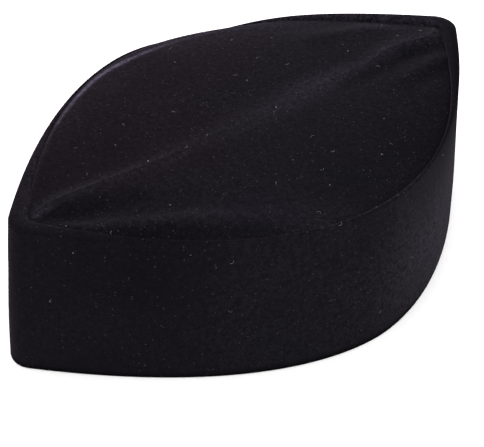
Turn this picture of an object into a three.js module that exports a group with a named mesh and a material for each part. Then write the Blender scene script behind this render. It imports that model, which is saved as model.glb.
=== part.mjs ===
import * as THREE from "three";

// A stiff velvet cap with a lens-shaped plan: an upright band all round, and a creased crown sunk just inside
// its lip. Millimetres. X runs across the cap, Y along it from the front tip to the back tip, and Z up.
// The rim rests on Z = 0.

// Band, outside
const RIM_LENGTH = 243.4; // tip to tip at the bottom
const RIM_WIDTH = 159.6; // side to side at the bottom
const LIP_LENGTH = 231.2; // tip to tip at the top
const LIP_WIDTH = 147;
const BAND_HEIGHT = 63.5; // at the middle of each side
const TIP_RISE = 3.3; // how much higher the lip stands at the two tips
const BAND_BOW = 0.3; // how far the wall swells outwards half way up
const TIP_RADIUS = 9.7; // the rounded tips, seen from above
const LIP_DIP = 4.4; // how far the lip of the -X side sinks
const LIP_DIP_PLACE = 0.22; // where, as a share of the half length
const LIP_DIP_REACH = 0.25; // and how widely, as a share of the same

// Band, wall
const SIDE_WALL = 2.4; // velvet over card with the seam cloth turned in, at the middle of each side
const LIP_TIP_WALL = 7.5; // the same at the tips of the lip, where the turned cloth gathers
const RIM_TIP_WALL = 4.6; // the same at the tips of the rim
const INNER_TIP_RADIUS = 4.9;
const LIP_ROUND = 2; // how deep the rounding of the lip goes
const RIM_EDGE = 0.5; // softened edges of the rim

// How full the lens is: 2 is a parabola, less is more pointed
const RIM_FULLNESS = 1.81;
const LIP_FULLNESS = 1.83;
const INNER_LIP_FULLNESS = 2.06;

// Crown
const SEAM_GAP = 0.3; // between the crown's edge and the wall round it
const CROWN_WALL = 2; // velvet and its backing
const SEAM_DEPTH = 4.9; // how far the crown's seam lies below the lip
const EDGE_ROLL = 5; // how far in from the wall the crown rolls up from its seam
const CREASE_HEIGHT = 2.2;
const CREASE_FAR_WIDTH = 4.5; // the crease fades slowly towards -X
const CREASE_NEAR_WIDTH = 3; // and drops quickly towards +X
const FOLD_HEIGHT = 2.2;
const FOLD_WIDTH = 5.5;

// The crease from front to back. along is a share of the crown's half length, across a share of its half
// width there, and rise a share of the crease height.
const CREASE = [
  { along: -1.0, across: -0.36, rise: 0.6 },
  { along: -0.85, across: -0.155, rise: 1.0 },
  { along: -0.6, across: -0.045, rise: 0.8 },
  { along: -0.3, across: -0.01, rise: 0.4 },
  { along: 0.0, across: 0.0, rise: 0.2 },
  { along: 0.3, across: 0.0, rise: 0.25 },
  { along: 0.6, across: 0.0, rise: 0.6 },
  { along: 0.85, across: -0.02, rise: 0.9 },
  { along: 1.0, across: 0.35, rise: 0.9 },
];

// The crown's height from front to back: on the crease, half way out to each side and at each edge.
// A level of 0 is the depth of the seam and 1 is the height of the lip.
const CROWN_LEVELS = [
  { along: -1.0, crease: 0.8, left: 0.9, leftEdge: 0.85, right: 0.6, rightEdge: 0.65 },
  { along: -0.85, crease: 0.7, left: 1.0, leftEdge: 1.35, right: 0.6, rightEdge: 0.5 },
  { along: -0.6, crease: 0.8, left: 1.2, leftEdge: 1.45, right: 0.9, rightEdge: 0.5 },
  { along: -0.3, crease: 1.1, left: 1.35, leftEdge: 1.4, right: 1.1, rightEdge: 0.6 },
  { along: 0.0, crease: 1.2, left: 1.3, leftEdge: 1.2, right: 1.2, rightEdge: 0.7 },
  { along: 0.3, crease: 1.1, left: 1.1, leftEdge: 0.8, right: 1.1, rightEdge: 0.7 },
  { along: 0.6, crease: 0.8, left: 0.9, leftEdge: 0.55, right: 0.9, rightEdge: 0.6 },
  { along: 0.85, crease: 0.6, left: 0.7, leftEdge: 0.45, right: 0.5, rightEdge: 0.5 },
  { along: 1.0, crease: 0.5, left: 0.55, leftEdge: 0.5, right: 0.4, rightEdge: 0.5 },
];

// Small folds and hollows of the crown, as straight lines seen from above. from and to are places across and
// along the cap, as shares of the lip's half width and half length. The rises at both ends are shares of the
// fold's height, below 0 for a hollow, and width is a share of its width.
const FOLDS = [
  { from: [0.02, -0.93], to: [-0.02, -0.84], startRise: 0.5, endRise: 0.3, width: 0.4 },
  { from: [0.1, -0.9], to: [0.6, -0.4], startRise: 0.8, endRise: 0.4, width: 1.0 },
  { from: [0.26, 0.56], to: [0.25, 0.84], startRise: 0.3, endRise: 0.8, width: 0.9 },
  { from: [-0.43, 0.46], to: [-0.2, 0.8], startRise: 0.3, endRise: 0.8, width: 0.9 },
  { from: [0.05, -0.82], to: [0.26, -0.48], startRise: -0.8, endRise: -0.4, width: 1.0 },
  { from: [0.27, -0.84], to: [0.78, -0.38], startRise: -0.5, endRise: -0.5, width: 1.0 },
  { from: [0.1, 0.4], to: [0.13, 0.8], startRise: -0.4, endRise: -0.8, width: 1.0 },
  { from: [0.34, 0.58], to: [0.31, 0.8], startRise: -0.4, endRise: -0.6, width: 1.0 },
];

// Mesh steps
const SIDE_STEPS = 36;
const TIP_STEPS = 7;
const WALL_STEPS = 4;
const LIP_STEPS = 6;
const CROWN_STEPS = 19; // from the crease out to the seam
const CROWN_EASE = 0.5; // how far these steps bunch up towards both: 0 not at all, 1 as a cosine

const BLACK_VELVET = { color: 0x1e1c21, roughness: 0.95, metalness: 0 };

// A lens outline, tip to tip along Y: its sides are w(1 - |v|^fullness) pushed out by the tip radius.
function lens(length, width, tipRadius, fullness) {
  return { reach: length / 2 - tipRadius, spread: width / 2 - tipRadius, tipRadius, fullness };
}

const RIM_OUTSIDE = lens(RIM_LENGTH, RIM_WIDTH, TIP_RADIUS, RIM_FULLNESS);
const LIP_OUTSIDE = lens(LIP_LENGTH, LIP_WIDTH, TIP_RADIUS, LIP_FULLNESS);
const RIM_INSIDE = lens(
  RIM_LENGTH - 2 * RIM_TIP_WALL,
  RIM_WIDTH - 2 * SIDE_WALL,
  INNER_TIP_RADIUS,
  RIM_FULLNESS,
);
const LIP_INSIDE = lens(
  LIP_LENGTH - 2 * LIP_TIP_WALL,
  LIP_WIDTH - 2 * SIDE_WALL,
  INNER_TIP_RADIUS,
  INNER_LIP_FULLNESS,
);
const CROWN_OUTLINE = { ...LIP_INSIDE, tipRadius: INNER_TIP_RADIUS - SEAM_GAP };

// The direction straight out of a lens's side at v, which runs from -1 at the front tip to 1 at the back tip.
function sideDirection(outline, side, v) {
  const slope = outline.spread * outline.fullness * Math.abs(v) ** (outline.fullness - 1) * Math.sign(v);
  return Math.atan2(slope, side * outline.reach);
}

// A point of a lens outline at a station: on a side at v, or part of the way round a tip's arc.
function outlinePoint(outline, station) {
  const { side, v, turn } = station;
  const core = outline.spread * (1 - Math.abs(v) ** outline.fullness);
  let angle = sideDirection(outline, side, v);
  if (turn > 0) {
    const half = Math.abs(Math.PI / 2 - Math.abs(sideDirection(outline, 1, v)));
    angle = (v * Math.PI) / 2 + half * (2 * turn - 1);
  }
  const x = (turn > 0 ? 0 : side * core) + outline.tipRadius * Math.cos(angle);
  return new THREE.Vector2(x, outline.reach * v + outline.tipRadius * Math.sin(angle));
}

// Stations all the way round: the +X side from front to back, the back tip, the -X side back again, and the
// front tip.
function goRound() {
  const stations = [];
  for (const side of [1, -1]) {
    for (let i = 0; i <= SIDE_STEPS; i++) {
      stations.push({ side, v: -side * Math.cos((Math.PI * i) / SIDE_STEPS), turn: 0 });
    }
    for (let i = 1; i < TIP_STEPS; i++) {
      stations.push({ side, v: side, turn: i / TIP_STEPS });
    }
  }
  return stations;
}

const STATIONS = goRound();

// The height of the lip, which rises towards both tips, without its dip.
function fairLipHeight(v) {
  return BAND_HEIGHT + TIP_RISE * v * v;
}

// The height of the lip at a station. Its -X side dips a little behind the middle.
function lipHeight({ side, v }) {
  const away = (v - LIP_DIP_PLACE) / LIP_DIP_REACH;
  return fairLipHeight(v) - (side < 0 ? LIP_DIP * Math.exp(-away * away) : 0);
}

// A point of the band's wall: across is 0 inside and 1 outside, up is a share of the way from rim to lip.
function wallPoint(station, across, up, z) {
  const inside = outlinePoint(RIM_INSIDE, station).lerp(outlinePoint(LIP_INSIDE, station), up);
  const outside = outlinePoint(RIM_OUTSIDE, station).lerp(outlinePoint(LIP_OUTSIDE, station), up);
  const out = outside.clone().sub(inside).normalize();
  const bow = 4 * BAND_BOW * up * (1 - up);
  const point = inside.lerp(outside, across).addScaledVector(out, bow);
  return new THREE.Vector3(point.x, point.y, z);
}

// The band's wall in section at one station, going round it: rim, outside face, rounded lip, inside face.
function wallSection(station) {
  const wall = outlinePoint(RIM_OUTSIDE, station).distanceTo(outlinePoint(RIM_INSIDE, station));
  const edge = RIM_EDGE / wall;
  const straight = lipHeight(station) - LIP_ROUND;
  const points = [wallPoint(station, edge, 0, 0), wallPoint(station, 1 - edge, 0, 0)];
  for (let i = 0; i <= WALL_STEPS; i++) {
    const up = i / WALL_STEPS;
    points.push(wallPoint(station, 1, up, THREE.MathUtils.lerp(RIM_EDGE, straight, up)));
  }
  for (let i = 1; i < LIP_STEPS; i++) {
    const angle = (Math.PI * i) / LIP_STEPS;
    points.push(wallPoint(station, (1 + Math.cos(angle)) / 2, 1, straight + LIP_ROUND * Math.sin(angle)));
  }
  for (let i = WALL_STEPS; i >= 0; i--) {
    const up = i / WALL_STEPS;
    points.push(wallPoint(station, 0, up, THREE.MathUtils.lerp(RIM_EDGE, straight, up)));
  }
  return points;
}

// One column of a table of rows, read smoothly between its rows.
function readSmoothly(rows, column, along) {
  const last = rows.length - 1;
  let i = 0;
  while (i < last - 1 && along > rows[i + 1].along) {
    i++;
  }
  const slope = (k) => {
    const before = rows[Math.max(k - 1, 0)];
    const after = rows[Math.min(k + 1, last)];
    return (after[column] - before[column]) / (after.along - before.along);
  };
  const step = rows[i + 1].along - rows[i].along;
  const t = THREE.MathUtils.clamp((along - rows[i].along) / step, 0, 1);
  const rise = rows[i + 1][column] - rows[i][column];
  const start = slope(i) * step;
  const end = slope(i + 1) * step;
  return rows[i][column] + t * (start + t * (3 * rise - 2 * start - end + t * (start + end - 2 * rise)));
}

// How much one small fold lifts the crown at a point.
function foldLift(fold, point) {
  const halves = new THREE.Vector2(LIP_WIDTH / 2, LIP_LENGTH / 2);
  const from = new THREE.Vector2(...fold.from).multiply(halves);
  const run = new THREE.Vector2(...fold.to).multiply(halves).sub(from);
  const t = THREE.MathUtils.clamp(point.clone().sub(from).dot(run) / run.lengthSq(), 0, 1);
  const away = point.distanceTo(from.addScaledVector(run, t)) / (FOLD_WIDTH * fold.width);
  const rise = FOLD_HEIGHT * THREE.MathUtils.lerp(fold.startRise, fold.endRise, t);
  return rise * Math.exp(-away * away);
}

// A point of the crown's upper face, a share of the way out from the crease to the seam.
function crownPoint(station, share) {
  const { v } = station;
  const { reach, spread, tipRadius, fullness } = CROWN_OUTLINE;
  const seam = outlinePoint(CROWN_OUTLINE, station);
  const halfWidth = spread * (1 - Math.abs(v) ** fullness) + tipRadius;
  const crease = new THREE.Vector2(readSmoothly(CREASE, "across", v) * halfWidth, reach * v);
  const point = crease.clone().lerp(seam, share);
  const left = seam.x < crease.x;
  const halfWay = { along: 0.5, level: readSmoothly(CROWN_LEVELS, left ? "left" : "right", v) };
  const atCrease = { along: 0, level: readSmoothly(CROWN_LEVELS, "crease", v) };
  const atEdge = { along: 1, level: readSmoothly(CROWN_LEVELS, left ? "leftEdge" : "rightEdge", v) };
  const level = readSmoothly([atCrease, halfWay, atEdge], "level", share);
  const rollWidth = Math.min(EDGE_ROLL, crease.distanceTo(seam));
  const intoRoll = Math.max(0, 1 - point.distanceTo(seam) / rollWidth);
  const roll = 1 - Math.sqrt(1 - intoRoll * intoRoll);
  const creaseRise = CREASE_HEIGHT * readSmoothly(CREASE, "rise", v);
  const creaseWidth = left ? CREASE_FAR_WIDTH : CREASE_NEAR_WIDTH;
  const creaseLift = creaseRise * Math.exp(-point.distanceTo(crease) / creaseWidth);
  const lift = FOLDS.reduce((sum, fold) => sum + foldLift(fold, point), creaseLift);
  const seamHeight = fairLipHeight(v) - SEAM_DEPTH;
  return new THREE.Vector3(point.x, point.y, seamHeight + (SEAM_DEPTH * level + lift) * (1 - roll));
}

// Where the crown's rings lie, as shares of the way out from the crease to the seam.
const CROWN_SHARES = Array.from({ length: CROWN_STEPS + 1 }, (_, i) => {
  const even = i / CROWN_STEPS;
  return THREE.MathUtils.lerp(even, (1 - Math.cos(Math.PI * even)) / 2, CROWN_EASE);
});

// The crown's wall at one station: out from the crease under it, and back in over its upper face.
function crownSection(station) {
  const upper = CROWN_SHARES.map((share) => crownPoint(station, share));
  const lower = upper.map((point) => new THREE.Vector3(point.x, point.y, point.z - CROWN_WALL));
  return [...lower, ...upper.reverse()];
}

// A closed skin through the sections, in order. Where they aren't closed rings, their ends meet on a line.
// Each four-sided patch is cut along its shorter diagonal, which keeps slanting folds smooth.
function skin(sections, closedRings) {
  const places = [];
  const numbers = new Map();
  const numberOf = (point) => {
    const key = [point.x, point.y, point.z].map((value) => value.toFixed(4)).join(" ");
    if (!numbers.has(key)) {
      numbers.set(key, numbers.size);
      places.push(point.x, point.y, point.z);
    }
    return numbers.get(key);
  };
  const faces = [];
  const face = (...corners) => {
    const [a, b, c] = corners.map(numberOf);
    if (a !== b && b !== c && c !== a) {
      faces.push(a, b, c);
    }
  };
  sections.forEach((section, i) => {
    const next = sections[(i + 1) % sections.length];
    const count = closedRings ? section.length : section.length - 1;
    for (let j = 0; j < count; j++) {
      const k = (j + 1) % section.length;
      if (section[j].distanceTo(next[k]) < next[j].distanceTo(section[k])) {
        face(section[j], next[j], next[k]);
        face(section[j], next[k], section[k]);
      } else {
        face(section[j], next[j], section[k]);
        face(next[j], next[k], section[k]);
      }
    }
  });
  const geometry = new THREE.BufferGeometry();
  geometry.setAttribute("position", new THREE.Float32BufferAttribute(places, 3));
  geometry.setIndex(faces);
  geometry.computeVertexNormals();
  return geometry;
}

function piece(name, geometry) {
  const mesh = new THREE.Mesh(geometry, new THREE.MeshStandardMaterial(BLACK_VELVET));
  mesh.name = name;
  return mesh;
}

const cap = new THREE.Group();
cap.add(piece("band", skin(STATIONS.map(wallSection), true)));
cap.add(piece("crown", skin(STATIONS.map(crownSection), false)));

export default cap;
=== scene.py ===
# %% [markdown]
# A stiff cap in black velvet, seen a little from above. Two pieces of velvet over a stiffener make it: a
# band that stands up all round, pointed at the front and the back, and a crown that is sewn in just below
# the lip of the band. The crown has one pressed crease from tip to tip and a few short folds where the
# cloth gathers.
#
# The script loads the engineered cap as a fixed frame, remakes both pieces in fine detail around it, gives
# them a procedural velvet, and sprinkles a little lint, which black velvet always shows. Nothing in the
# cap is soft enough to sag: the cloth is stretched over its stiffener, so no cloth simulation is needed.

# %% The frame
import math
from collections import namedtuple

import bmesh
import bpy
import numpy as np
from mathutils import Matrix, Vector
from mathutils.bvhtree import BVHTree


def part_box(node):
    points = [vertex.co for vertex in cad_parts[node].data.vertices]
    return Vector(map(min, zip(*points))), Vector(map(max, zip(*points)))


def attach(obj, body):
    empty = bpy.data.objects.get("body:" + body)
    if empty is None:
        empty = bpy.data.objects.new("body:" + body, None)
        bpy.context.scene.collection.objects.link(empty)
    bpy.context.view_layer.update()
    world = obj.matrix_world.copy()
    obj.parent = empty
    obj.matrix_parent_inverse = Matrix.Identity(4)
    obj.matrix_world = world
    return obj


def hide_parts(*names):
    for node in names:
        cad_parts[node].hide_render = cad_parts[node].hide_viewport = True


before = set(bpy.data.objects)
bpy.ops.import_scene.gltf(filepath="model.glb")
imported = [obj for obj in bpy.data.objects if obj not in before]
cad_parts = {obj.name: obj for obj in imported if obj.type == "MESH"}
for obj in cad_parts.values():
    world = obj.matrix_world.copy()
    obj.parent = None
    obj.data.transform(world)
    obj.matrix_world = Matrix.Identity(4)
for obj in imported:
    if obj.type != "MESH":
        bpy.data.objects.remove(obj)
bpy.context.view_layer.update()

band_low, band_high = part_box("band")
crown_low, crown_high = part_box("crown")
print("band from", tuple(band_low), "to", tuple(band_high))
print("crown from", tuple(crown_low), "to", tuple(crown_high))

# %% [markdown]
# The camera comes first, because every later choice is judged through it. The cap is seen from its front
# right, 40 degrees above the table, with its front tip towards the left. A long lens keeps its sides
# nearly parallel. The camera's three axes are worked out from the two angles and then rolled a little, as
# a camera held by hand is. It is simpler to set them as one matrix than to aim with a constraint.

# %% The camera
AZIMUTH = math.radians(48.5)
ELEVATION = math.radians(40.2)
ROLL = math.radians(1.8)
DISTANCE = 0.5
AIM = Vector((0.0225, -0.0255, 0.035))
PHOTO_WIDTH = 484  # pixels
PHOTO_HEIGHT = 447
FOCAL_PIXELS = 1249
SENSOR = 36  # millimetres


def axes(azimuth, elevation):
    """Right, up and back of a camera that looks at the cap from there."""
    level = math.cos(elevation)
    back = Vector((math.sin(azimuth) * level, -math.cos(azimuth) * level, math.sin(elevation)))
    right = Vector((math.cos(azimuth), math.sin(azimuth), 0))
    return right, back.cross(right), back


right, up, back = axes(AZIMUTH, ELEVATION)
rolled_right = right * math.cos(ROLL) + up * math.sin(ROLL)
rolled_up = up * math.cos(ROLL) - right * math.sin(ROLL)
camera = bpy.data.objects.new("camera", bpy.data.cameras.new("camera"))
camera.data.sensor_width = SENSOR
camera.data.lens = FOCAL_PIXELS * SENSOR / PHOTO_WIDTH
turned = Matrix((rolled_right, rolled_up, back)).transposed()
camera.matrix_world = Matrix.Translation(AIM + back * DISTANCE) @ turned.to_4x4()
bpy.context.scene.collection.objects.link(camera)
bpy.context.scene.camera = camera
print("lens", round(camera.data.lens, 1), "mm")

# %% [markdown]
# Seen from above the cap is a lens: two bulging sides that meet in two rounded tips. Such an outline could
# be drawn by hand as a curve, but a formula is easier to keep true. Its core is a width that falls off as
# 1 - |v| ** fullness on the way from the middle to a tip, where v runs from -1 at the front tip to 1 at
# the back tip. Pushed out by the tip radius, the core gives the sides, and an arc closes each tip.
#
# The outside and the inside of the wall, at the rim and at the lip, are four such outlines. The overall
# sizes come from the frame, and the walls and radii are those of the engineered cap.

# %% The four outlines
SEAM_GAP = 0.0003
SIDE_WALL = 0.0024
LIP_TIP_WALL = 0.0075
RIM_TIP_WALL = 0.0046
TIP_RADIUS = 0.0097
INNER_TIP_RADIUS = 0.0049
RIM_FULLNESS = 1.81
LIP_FULLNESS = 1.83
INNER_LIP_FULLNESS = 2.06
SIDE_STEPS = 230
TIP_STEPS = 22

Lens = namedtuple("Lens", "reach spread tip_radius fullness")


def lens(length, width, tip_radius, fullness):
    return Lens(length / 2 - tip_radius, width / 2 - tip_radius, tip_radius, fullness)


rim_length = band_high.y - band_low.y
rim_width = band_high.x - band_low.x
lip_length = crown_high.y - crown_low.y + 2 * (SEAM_GAP + LIP_TIP_WALL)
lip_width = crown_high.x - crown_low.x + 2 * (SEAM_GAP + SIDE_WALL)
rim_outside = lens(rim_length, rim_width, TIP_RADIUS, RIM_FULLNESS)
lip_outside = lens(lip_length, lip_width, TIP_RADIUS, LIP_FULLNESS)
rim_inside = lens(rim_length - 2 * RIM_TIP_WALL, rim_width - 2 * SIDE_WALL, INNER_TIP_RADIUS, RIM_FULLNESS)
lip_inside = lens(
    lip_length - 2 * LIP_TIP_WALL, lip_width - 2 * SIDE_WALL, INNER_TIP_RADIUS, INNER_LIP_FULLNESS
)
print("rim", round(rim_length, 4), "by", round(rim_width, 4))
print("lip", round(lip_length, 4), "by", round(lip_width, 4))

# %% [markdown]
# Every outline is walked in the same steps, called stations: up one side, round the back tip, down the
# other side and round the front tip. The steps are short near the tips, where the outline turns. Because
# all the outlines share their stations, station 100 of the lip lies right above station 100 of the rim,
# and the wall between them comes out without a twist.

# %% Stations all the way round
def go_round():
    """Side, v and turn of each station: +X side to the back, back tip, -X side, front tip."""
    rows = []
    for side in (1, -1):
        rows += [(side, -side * math.cos(math.pi * i / SIDE_STEPS), 0) for i in range(SIDE_STEPS + 1)]
        rows += [(side, side, i / TIP_STEPS) for i in range(1, TIP_STEPS)]
    return np.array(rows, float).T


SIDE, V, TURN = go_round()


def outline_points(outline):
    """The lens outline's point at every station."""
    reach, spread, tip_radius, fullness = outline
    slope = spread * fullness * np.abs(V) ** (fullness - 1) * np.sign(V)
    half = np.abs(math.pi / 2 - np.abs(np.arctan2(slope, reach)))
    at_tip = TURN > 0
    angle = np.where(at_tip, V * math.pi / 2 + half * (2 * TURN - 1), np.arctan2(slope, SIDE * reach))
    core = np.where(at_tip, 0, SIDE * spread * (1 - np.abs(V) ** fullness))
    return np.stack([core + tip_radius * np.cos(angle), reach * V + tip_radius * np.sin(angle)], axis=1)


print(len(V), "stations")

# %% [markdown]
# The lip rises a little towards both tips, as the edge of a sheet does when it is bent into a point. On
# the left side it also sinks where the cap has been squeezed. A bell-shaped dip is taken off one side for
# that. The crown was cut for an even lip, so the height without the dip is kept as well.

# %% The height of the lip
TIP_RISE = 0.0033
LIP_DIP = 0.0044
LIP_DIP_PLACE = 0.22
LIP_DIP_REACH = 0.25
band_height = band_high.z - TIP_RISE


def fair_lip_height(v):
    return band_height + TIP_RISE * v**2


def lip_height(side, v):
    dip = LIP_DIP * np.exp(-(((v - LIP_DIP_PLACE) / LIP_DIP_REACH) ** 2))
    return fair_lip_height(v) - np.where(side < 0, dip, 0)


print("lip", round(band_height, 4), "m high at the sides and", round(band_high.z, 4), "m at the tips")

# %% [markdown]
# Node trees are easier to read in Python when each node takes one line. These small helpers add a node,
# set it and plug its inputs, for geometry and shader trees alike. A value that is already a socket is
# linked, and anything else becomes the input's own value.

# %% Helpers for node trees
def plug(tree, socket, value):
    if isinstance(value, bpy.types.NodeSocket):
        tree.links.new(value, socket)
    else:
        socket.default_value = value


def add(tree, kind, inputs=None, **settings):
    node = tree.nodes.new(kind)
    for name, value in settings.items():
        setattr(node, name, value)
    for key, value in (inputs or {}).items():
        plug(tree, node.inputs[key], value)
    return node


def calc(tree, operation, *values, clamp=False):
    node = add(tree, "ShaderNodeMath", dict(enumerate(values)), operation=operation, use_clamp=clamp)
    return node.outputs[0]


def vector(tree, operation, first, second=None, scale=None):
    inputs = {0: first}
    if second is not None:
        inputs[1] = second
    if scale is not None:
        inputs["Scale"] = scale
    return add(tree, "ShaderNodeVectorMath", inputs, operation=operation).outputs[0]


# The Mix node has its own pair of inputs and its own output for each kind of value
MIX_SOCKETS = {"FLOAT": (2, 3, 0), "VECTOR": (4, 5, 1), "RGBA": (6, 7, 2)}


def mix(tree, kind, factor, first, second):
    a, b, out = MIX_SOCKETS[kind]
    return add(tree, "ShaderNodeMix", {0: factor, a: first, b: second}, data_type=kind).outputs[out]


NUMBER_KINDS = {int: "Int", float: "Float"}


def new_tree(name, kind, inputs, outputs):
    """A node group and the sockets at its two ends. An input is given as its value or by its kind."""
    tree = bpy.data.node_groups.new(name, kind)
    for socket, value in inputs.items():
        socket_type = "NodeSocket" + NUMBER_KINDS.get(type(value), value)
        item = tree.interface.new_socket(socket, in_out="INPUT", socket_type=socket_type)
        if type(value) in NUMBER_KINDS:
            item.default_value = value
    for socket, value in outputs.items():
        tree.interface.new_socket(socket, in_out="OUTPUT", socket_type="NodeSocket" + value)
    return tree, tree.nodes.new("NodeGroupInput").outputs, tree.nodes.new("NodeGroupOutput").inputs


# %% [markdown]
# A piece ends as a plain mesh at the origin. A geometry tree is run once, its result is copied into a mesh
# of its own, and the modifier is taken off again, so that the mesh holds just what is seen. A modifier's
# inputs are set by their identifiers, before the tree is first evaluated. Every piece is then checked:
# doubled points are merged, faces are turned outwards, and the edges that do not join two faces are
# counted.

# %% Helpers for finished meshes
def show(name, mesh):
    """An object for a mesh, at the origin."""
    made = bpy.data.objects.new(name, mesh)
    bpy.context.scene.collection.objects.link(made)
    return made


def grow(name, start, tree, values):
    """Runs a geometry tree with these inputs on a mesh, and keeps the result as a plain mesh."""
    grown = show(name, start)
    modifier = grown.modifiers.new("nodes", "NODES")
    modifier.node_group = tree
    for item in tree.interface.items_tree:
        if item.item_type == "SOCKET" and item.in_out == "INPUT" and item.name in values:
            modifier[item.identifier] = values[item.name]
    depsgraph = bpy.context.evaluated_depsgraph_get()
    plain = bpy.data.meshes.new_from_object(
        grown.evaluated_get(depsgraph), preserve_all_data_layers=True, depsgraph=depsgraph
    )
    grown.modifiers.clear()
    grown.data = plain
    plain.name = name
    return grown


def tidy(mesh, merge):
    """Merges doubled points and turns every face outwards."""
    work = bmesh.new()
    work.from_mesh(mesh)
    bmesh.ops.remove_doubles(work, verts=work.verts, dist=merge)
    bmesh.ops.recalc_face_normals(work, faces=work.faces)
    open_edges = sum(not edge.is_manifold for edge in work.edges)
    volume = work.calc_volume()
    work.to_mesh(mesh)
    work.free()
    mesh.shade_smooth()
    mesh.update()
    triangles = sum(len(face.vertices) - 2 for face in mesh.polygons)
    print(mesh.name, triangles, "triangles,", open_edges, "open edges,", round(volume * 1e6, 1), "cm3")


# %% [markdown]
# Velvet is a ground cloth with a dense pile standing on it. Black velvet is nearly without gloss seen
# straight on, and turns grey where it is seen along the surface, because there the tips of the pile catch
# the light. The shader has a sheen layer made for this. The pile also lies over a little here and there,
# which shows as soft patches and as a fine grain, and it holds dust.
#
# Three effects are shared by the pieces, so each is a node group: the grain of the pile with its height,
# the wide patches where it leans or looks warmer, and the dust between its tufts. They read the object's
# own coordinates, so they stay in place on the cap.

# %% The grain of the pile
def noise(tree, place, scale, detail=2.0, distortion=0.0):
    inputs = {"Vector": place, "Scale": scale, "Detail": detail, "Distortion": distortion}
    return add(tree, "ShaderNodeTexNoise", inputs).outputs[0]


def between(tree, value, low, high):
    """Nought at low, one at high, and straight between them."""
    inputs = {"Value": value, "From Min": low, "From Max": high}
    return add(tree, "ShaderNodeMapRange", inputs).outputs[0]


# A noise stays near its middle, so each one is spread out from the range that it really fills
GRAIN_RANGE = (0.4, 0.62)
LEAN_RANGE = (0.3, 0.7)
HUE_RANGE = (0.38, 0.62)
TUFT_SHARE = 0.4
SLOWER = 0.45  # the hue changes over wider patches than the lean
ELSEWHERE = (0.31, 0.17, 0.23)  # metres, so that the hue's patches are not the lean's


def make_grain():
    tree, given, out = new_tree(
        "pile grain",
        "ShaderNodeTree",
        {"Place": "Vector", "Grain": 1250.0, "Tufts": 480.0},
        {"Shade": "Float", "Height": "Float"},
    )
    fine = noise(tree, given["Place"], given["Grain"], detail=2.0)
    tuft = noise(tree, given["Place"], given["Tufts"], detail=1.0)
    both = mix(tree, "FLOAT", TUFT_SHARE, fine, tuft)
    plug(tree, out["Shade"], between(tree, both, *GRAIN_RANGE))
    plug(tree, out["Height"], both)
    return tree


def make_patches():
    tree, given, out = new_tree(
        "leaning pile",
        "ShaderNodeTree",
        {"Place": "Vector", "Scale": 28.0},
        {"Lean": "Float", "Hue": "Float"},
    )
    wide = noise(tree, given["Place"], given["Scale"], detail=3.0, distortion=0.4)
    moved = vector(tree, "ADD", given["Place"], ELSEWHERE)
    slow = noise(tree, moved, calc(tree, "MULTIPLY", given["Scale"], SLOWER))
    plug(tree, out["Lean"], between(tree, wide, *LEAN_RANGE))
    plug(tree, out["Hue"], between(tree, slow, *HUE_RANGE))
    return tree


def make_dust():
    tree, given, out = new_tree(
        "fine dust",
        "ShaderNodeTree",
        {"Place": "Vector", "Cells": 680.0, "Size": 0.26, "Share": 0.4},
        {"Specks": "Float"},
    )
    cells = add(tree, "ShaderNodeTexVoronoi", {"Vector": given["Place"], "Scale": given["Cells"]}).outputs
    chance = add(tree, "ShaderNodeSeparateColor", {0: cells["Color"]}).outputs
    chosen = calc(tree, "LESS_THAN", chance[0], given["Share"])
    disc = between(tree, cells["Distance"], given["Size"], 0.0)
    strength = calc(tree, "POWER", chance[1], 2.0)
    plug(tree, out["Specks"], calc(tree, "MULTIPLY", calc(tree, "MULTIPLY", disc, chosen), strength))
    return tree


pile_grain = make_grain()
leaning_pile = make_patches()
fine_dust = make_dust()
print("groups:", pile_grain.name, leaning_pile.name, "and", fine_dust.name)

# %% [markdown]
# The velvet's colour is built up in layers: a black that wanders between cool and warm, paler tips of the
# pile over it, then painted light and shade, and dust on top. The painted light and shade is a value that
# each piece stores on its own points. Above 0 it is a painted highlight and looks paler, below 0 it is
# painted shade and looks darker. Where shade is painted, the normal is also turned towards the front
# right, so the surface that the light meets is turned that way too, which dims the sheen there.
#
# The pieces share one function. The band's cloth is smoother, and the crown's, which faces up, holds more
# dust. Sheen and gloss are the same all over, so they are set on the shader itself.

# %% The velvet
COOL_BLACK = (0.0032, 0.0031, 0.0043, 1)
WARM_BLACK = (0.0041, 0.0030, 0.0041, 1)
PILE_TIPS = (0.0076, 0.0071, 0.0093, 1)
# painted highlight: the colour that the painted light mixes towards above 0
PAINTED_HIGHLIGHT = (0.062, 0.055, 0.078, 1)
PAINTED_HIGHLIGHT_SHARE = 0.29  # of that colour where the painted light is 1
# painted shade: the colour that the painted light mixes towards below 0
PAINTED_SHADE = (0.0012, 0.0010, 0.0015, 1)
DUST = (0.045, 0.042, 0.049, 1)
SHADE_TILT = (0.35, -0.35, 0.3)  # where shade is painted the normal leans this way, towards the front right
TIPS_SHOWN = (0.35, 0.85)  # the share of the tips' colour where the pile leans least and most
HIGHLIGHT_GRAIN_PEAK = 0.6  # high grains of the painted highlight are paler by this share of what the low ones are darker by
PILE_ROUGHNESS = (1.0, 0.85)
PILE_BUMP = 0.55
PILE_HEIGHT = 0.0006
SHEEN = 0.034
SHEEN_ROUGHNESS = 0.4
SHEEN_TINT = (0.93, 0.9, 1.0, 1)


def new_material(name):
    material = bpy.data.materials.new(name)
    material.use_nodes = True
    tree = material.node_tree
    return material, tree, tree.nodes["Principled BSDF"]


def placed(tree, group, place):
    node = add(tree, "ShaderNodeGroup", node_tree=group)
    plug(tree, node.inputs["Place"], place)
    return node


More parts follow.
